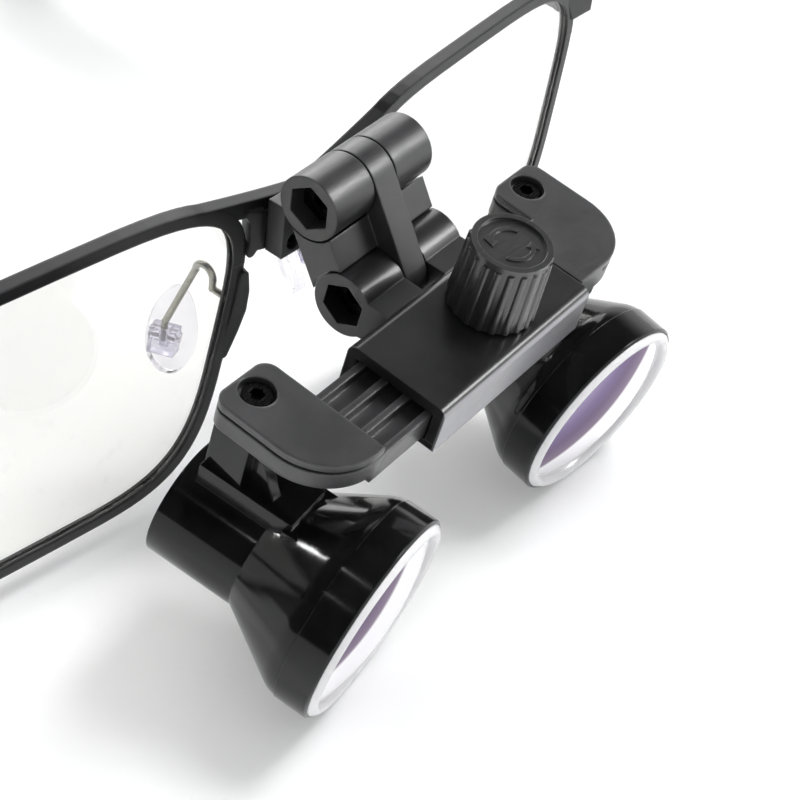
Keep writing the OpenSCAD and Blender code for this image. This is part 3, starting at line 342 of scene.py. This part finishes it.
# One look for each material slot of the record
looks = {
    "frame_black": coated(
        "frame_paint", (0.005, 0.005, 0.006), 0.34, (0.03, 0.03, 0.03), grain=3200.0, grain_depth=0.02,
        bevel=0.50, wear=0.3, marks=0.04, Specular_IOR_Level=0.28, Coat_Weight=0.12, Coat_Roughness=0.14),
    "carrier_glass": carrier(),
    "screw_black": machined("screw_oxide", (0.030, 0.030, 0.032), 0.26),
    "wire_metal": machined("wire_steel", (0.42, 0.41, 0.36), 0.22),
    "pad_clear": silicone(),
    "tip_black": coated(
        "tip_rubber", (0.014, 0.014, 0.014), 0.6, (0.05, 0.05, 0.05), grain=1800.0, grain_depth=0.2,
        bevel=0.4),
    "hinge_black": coated(
        "hinge_nylon", (0.024, 0.024, 0.026), 0.40, (0.06, 0.06, 0.062), grain=2400.0, grain_depth=0.05,
        bevel=0.34, wear=0.35, marks=0.08, Specular_IOR_Level=0.8, Coat_Weight=0.3, Coat_Roughness=0.3),
    "washer_pale": coated("washer_nylon", (0.10, 0.10, 0.098), 0.4, (0.2, 0.2, 0.19), spread=0.08),
    # The housing's front_reflection colour is a painted reflection on its front face
    "housing_black": coated(
        "housing_shell", (0.010, 0.010, 0.011), 0.36, (0.10, 0.10, 0.105), grain_depth=0.08, bevel=0.28,
        marks=0.06, front_reflection=(0.34, 0.34, 0.36), Specular_IOR_Level=0.6, Coat_Weight=0.45,
        Coat_Roughness=0.16),
    "knob_black": coated(
        "knob_moulding", (0.016, 0.016, 0.017), 0.36, (0.09, 0.09, 0.095), grain=2200.0, grain_depth=0.08,
        bevel=0.16, Specular_IOR_Level=0.9, Coat_Weight=0.6, Coat_Roughness=0.16),
    "pinion_brass": machined("pinion_brass", (0.72, 0.53, 0.24), 0.24),
    "arm_grey": coated(
        "arm_casting", (0.030, 0.030, 0.032), 0.42, (0.11, 0.11, 0.11), grain=2800.0, bevel=0.50,
        marks=0.10, Specular_IOR_Level=0.8, Coat_Weight=0.4, Coat_Roughness=0.3),
    "barrel_black": coated(
        "barrel_gloss", (0.004, 0.004, 0.0045), 0.11, (0.015, 0.015, 0.015), grain=1200.0,
        grain_depth=0.012, spread=0.15, bevel=0.25, wear=0.3, Specular_IOR_Level=0.35),
    # The bezel's pale colour with little metal is partly painted reflection: it stands for the bright room
    # that its metal ring mirrors, on top of the ring's own light tone
    "bezel_bright": coated(
        "bezel_pale_painted_reflection", (0.88, 0.88, 0.89), 0.24, (0.92, 0.92, 0.92), grain=3000.0, grain_depth=0.02,
        spread=0.02, bevel=0.2, marks=0.1, Metallic=0.1),
    "lens_glass": objective_glass(),
    "inner_black": coated("inner_flock", (0.010, 0.010, 0.010), 0.7, (0.02, 0.02, 0.02), wear=0.2),
}
box_look = boxed()
for name, obj in frame["nodes"].items():
    for slot in obj.material_slots:
        key = slot.material.name.split(".")[0]
        slot.material = box_look if name.endswith("pad_box") else looks[key]


def as_object(name, mesh, key):
    """Puts a mesh into the scene, with the look of that slot."""
    data = bpy.data.meshes.new(name)
    mesh.to_mesh(data)
    mesh.free()
    data.materials.append(looks[key])
    piece = bpy.data.objects.new(name, data)
    bpy.context.scene.collection.objects.link(piece)
    return piece


# Arrows on the knob, in millimetres and degrees: radius of their middle line, width, height and depth under
# the knob's top, then the head's width and length and the sweep of the shaft
ARROW_R = 2.75
ARROW_W = 0.62
ARROW_H = 0.16
ARROW_SUNK = 0.05
HEAD_W = 1.7
HEAD_TURN = 26
SWEEP = 105
ARROW_STEPS = 18
# Height over the knob's middle from which its top is looked for
WELL_ABOVE = 20


def on_knob(x, y):
    """The point on the knob's hollow top that is x along and y across from its axis."""
    start = KNOB_MID + (ALONG * x + ACROSS * y + KNOB_AXIS * WELL_ABOVE) * MM
    return frame["nodes"]["pd_knob"].ray_cast(start, -KNOB_AXIS)[1]


def arrow(name, first):
    """A curved arrow in relief round the knob's axis, from the angle first, anticlockwise from above."""
    last = first + SWEEP
    sweep = [first + SWEEP * i / ARROW_STEPS for i in range(ARROW_STEPS + 1)]
    inner = [(a, ARROW_R - ARROW_W / 2) for a in sweep]
    outer = [(a, ARROW_R + ARROW_W / 2) for a in sweep]
    head = [(last, ARROW_R - HEAD_W / 2), (last + HEAD_TURN, ARROW_R), (last, ARROW_R + HEAD_W / 2)]
    outline = [(math.radians(a), r) for a, r in inner + head + outer[::-1]]
    foot = [on_knob(r * math.cos(a), r * math.sin(a)) for a, r in outline]
    mesh = bmesh.new()
    under = [mesh.verts.new(p - KNOB_AXIS * ARROW_SUNK * MM) for p in foot]
    over = [mesh.verts.new(p + KNOB_AXIS * ARROW_H * MM) for p in foot]
    mesh.faces.new(over)
    mesh.faces.new(under[::-1])
    for i in range(len(foot)):
        j = (i + 1) % len(foot)
        mesh.faces.new((under[i], under[j], over[j], over[i]))
    piece = as_object(name, mesh, "knob_black")
    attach(piece, "knob")


arrow("knob_arrow_a", 20)
arrow("knob_arrow_b", 200)

# Bezels and objectives, in millimetres: the bezel's bevel stands proud of its ring, round a domed lens
TURN_STEPS = 128
DOME_STEPS = 24
RING_R = mounts["left_objective_ring_outside"]["dims"]["r_mm"]
BEZEL_OUT = RING_R - 0.5
BEZEL_IN = RING_R - 2.2
BEZEL_PROUD = 0.75
BEZEL_DEEP = 0.6
BEZEL_LIP = 0.05
CREST = BEZEL_OUT - BEZEL_PROUD
CREST_HALF = 0.25
CREST_FALL = 0.04
OUTER_FALL = 0.20
INNER_FALL = 0.30
LENS_BULGE = 1.9
LENS_SINK = 0.15
# From the outer foot over the crest to the inner foot: radius, distance ahead of the ring, sharp or not
BEZEL_PROFILE = [
    (BEZEL_OUT, -BEZEL_DEEP, True),
    (BEZEL_OUT, BEZEL_LIP, True),
    (CREST + CREST_HALF, BEZEL_PROUD - OUTER_FALL, False),
    (CREST, BEZEL_PROUD - CREST_FALL, False),
    (CREST - CREST_HALF, BEZEL_PROUD, False),
    (BEZEL_IN + CREST_HALF, BEZEL_PROUD - INNER_FALL, False),
    (BEZEL_IN, -LENS_SINK, True),
    (BEZEL_IN, -BEZEL_DEEP, True),
]


def dome_profile():
    """A lens with a spherical front from its axis to the bezel, and a flat back."""
    sphere = (BEZEL_IN ** 2 + LENS_BULGE ** 2) / 2 / LENS_BULGE
    points = []
    for i in range(DOME_STEPS + 1):
        r = BEZEL_IN * i / DOME_STEPS
        fall = sphere - math.sqrt(sphere ** 2 - r ** 2)
        points.append((r, LENS_BULGE - LENS_SINK - fall, i == DOME_STEPS))
    return points + [(BEZEL_IN, -BEZEL_DEEP, True), (0, -BEZEL_DEEP, False)]


def turned(name, node, key, profile, axis, front):
    """A closed solid of revolution that stands for a node.

    profile holds (radius, distance ahead of front, sharp). It ends on the axis if it starts there, and
    otherwise closes on itself."""
    across = axis.orthogonal().normalized()
    other = axis.cross(across)
    angles = [math.tau * i / TURN_STEPS for i in range(TURN_STEPS)]
    spokes = [across * math.cos(a) + other * math.sin(a) for a in angles]
    mesh = bmesh.new()
    rows = []
    for r, ahead, _ in profile:
        mid = front + axis * ahead * MM
        points = [mid + spoke * r * MM for spoke in spokes] if r else [mid]
        rows.append([mesh.verts.new(point) for point in points])
    bands = list(zip(rows, rows[1:] + rows[:1]))
    if profile[0][0] == 0:
        bands.pop()
    for near, far in bands:
        for i in range(TURN_STEPS):
            j = (i + 1) % TURN_STEPS
            corners = [near[i % len(near)], near[j % len(near)], far[j % len(far)], far[i % len(far)]]
            mesh.faces.new(list(dict.fromkeys(corners))).smooth = True
    bmesh.ops.recalc_face_normals(mesh, faces=mesh.faces)
    for row, (_, _, sharp) in zip(rows, profile):
        if sharp:
            for i in range(TURN_STEPS):
                mesh.edges.get((row[i], row[(i + 1) % TURN_STEPS])).smooth = False
    piece = as_object(name, mesh, key)
    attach(piece, body_of(frame["nodes"][node])[0])
    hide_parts(node)


for side in ("left", "right"):
    ring = frame["nodes"][side + "_objective_ring"]
    mount = mounts[side + "_objective_ring_outside"]
    axis = Vector(mount["axis"]).normalized()
    middle = Vector(mount["pos_m"])
    front = middle + axis * max((v.co - middle).dot(axis) for v in ring.data.vertices)
    turned(side + "_bezel_bevel", side + "_bezel", "bezel_bright", BEZEL_PROFILE, axis, front)
    turned(side + "_objective_dome", side + "_objective", "lens_glass", dome_profile(), axis, front)

# Camera, from a perspective fit to the photograph
CAMERA_PLACE = (-0.16156, -0.19239, 0.18832)
CAMERA_TURN = (50.380, -3.794, -49.818)
data = bpy.data.cameras.new("camera")
data.sensor_width = 36
data.lens = 87.26
data.clip_start = 0.01
data.clip_end = 20
camera = bpy.data.objects.new("camera", data)
camera.location = CAMERA_PLACE
camera.rotation_euler = [math.radians(a) for a in CAMERA_TURN]
bpy.context.scene.collection.objects.link(camera)
bpy.context.scene.camera = camera

# World: white to the camera and through glass, a plain sky for diffuse light, and for glossy faces a room
# that is bright down to the table and on the right, and dark overhead and on the left
WHITE = (1, 1, 1)
SKY = 0.60
world = bpy.data.worlds.new("studio")
bpy.context.scene.world = world
n = Nodes(world, "OutputWorld")
split = n.add("SeparateXYZ")
n.put(split, 0, n.direction)
height_tone = n.ramp(split.outputs["Z"], (0.30, WHITE), (0.62, (0.05, 0.05, 0.05)))
side_tone = n.span(split.outputs["X"], -0.75, 0.1, 0.03, 1.0)
room = n.light("Background", height_tone, side_tone)
lit = n.mix_shader(n.ray("Glossy"), n.light("Background", WHITE, SKY), room)
n.surface(n.mix_shader(n.ray("Camera", "Transmission"), lit, n.light("Background", WHITE, 1.0)))

# Floor: it has its own share of white, which grows away from the object, where the lamps no longer reach
FLOOR_R = 3.0
GLOW_FROM, GLOW_TO = 0.25, 1.2
GLOW_NEAR, GLOW_FAR = 0.16, 0.75
bpy.ops.mesh.primitive_circle_add(vertices=96, radius=FLOOR_R, fill_type="NGON", location=(0, 0, 0))
floor = bpy.context.object
floor.name = "floor"
n = material("floor_white")
paint = n.add("BsdfDiffuse")
n.put(paint, "Color", (0.86, 0.865, 0.87))
share = n.span(n.vector("LENGTH", n.place), GLOW_FROM, GLOW_TO, GLOW_NEAR, GLOW_FAR)
glow = n.math("MULTIPLY", n.ray("Camera", "Transmission", "Glossy"), share)
both = n.add("AddShader")
n.put(both, 0, paint.outputs[0])
n.put(both, 1, n.light("Emission", WHITE, glow))
floor.data.materials.append(n.surface(both.outputs[0]))

# Lamps: one lights the object and makes the floor's shadow, and the others are only seen in glossy faces
LAMPS_AIM = Vector((0.0, -0.06, 0.03))
LAMPS_FAR = 0.95


def lamp(name, direction, size, watts, ratio=1.0, glossy=True, diffuse=False):
    """A soft box LAMPS_FAR away in that direction, ratio times as high as it is wide."""
    light = bpy.data.lights.new(name, "AREA")
    light.shape = "RECTANGLE"
    light.size = size
    light.size_y = size * ratio
    light.energy = watts
    piece = bpy.data.objects.new(name, light)
    piece.location = LAMPS_AIM + Vector(direction).normalized() * LAMPS_FAR
    piece.rotation_euler = (LAMPS_AIM - piece.location).to_track_quat("-Z", "Y").to_euler()
    piece.visible_glossy = glossy
    piece.visible_diffuse = diffuse
    bpy.context.scene.collection.objects.link(piece)


lamp("sun", (0.46, -0.21, 0.88), 0.32, 5.9, glossy=False, diffuse=True)
lamp("key", (0.62, -0.56, 0.52), 0.30, 4.0)
lamp("rim", (0.60, 0.53, 0.58), 0.40, 1.4)
lamp("back", (0.58, 0.75, 0.32), 0.30, 0.8)
lamp("strip", (-0.13, 0.80, 0.59), 0.05, 1.4, ratio=4.0)
lamp("spot_a", (-0.69, -0.14, 0.71), 0.03, 0.06)
lamp("spot_b", (-0.28, -0.14, 0.95), 0.03, 0.05)

bpy.context.scene.view_settings.view_transform = "Standard"
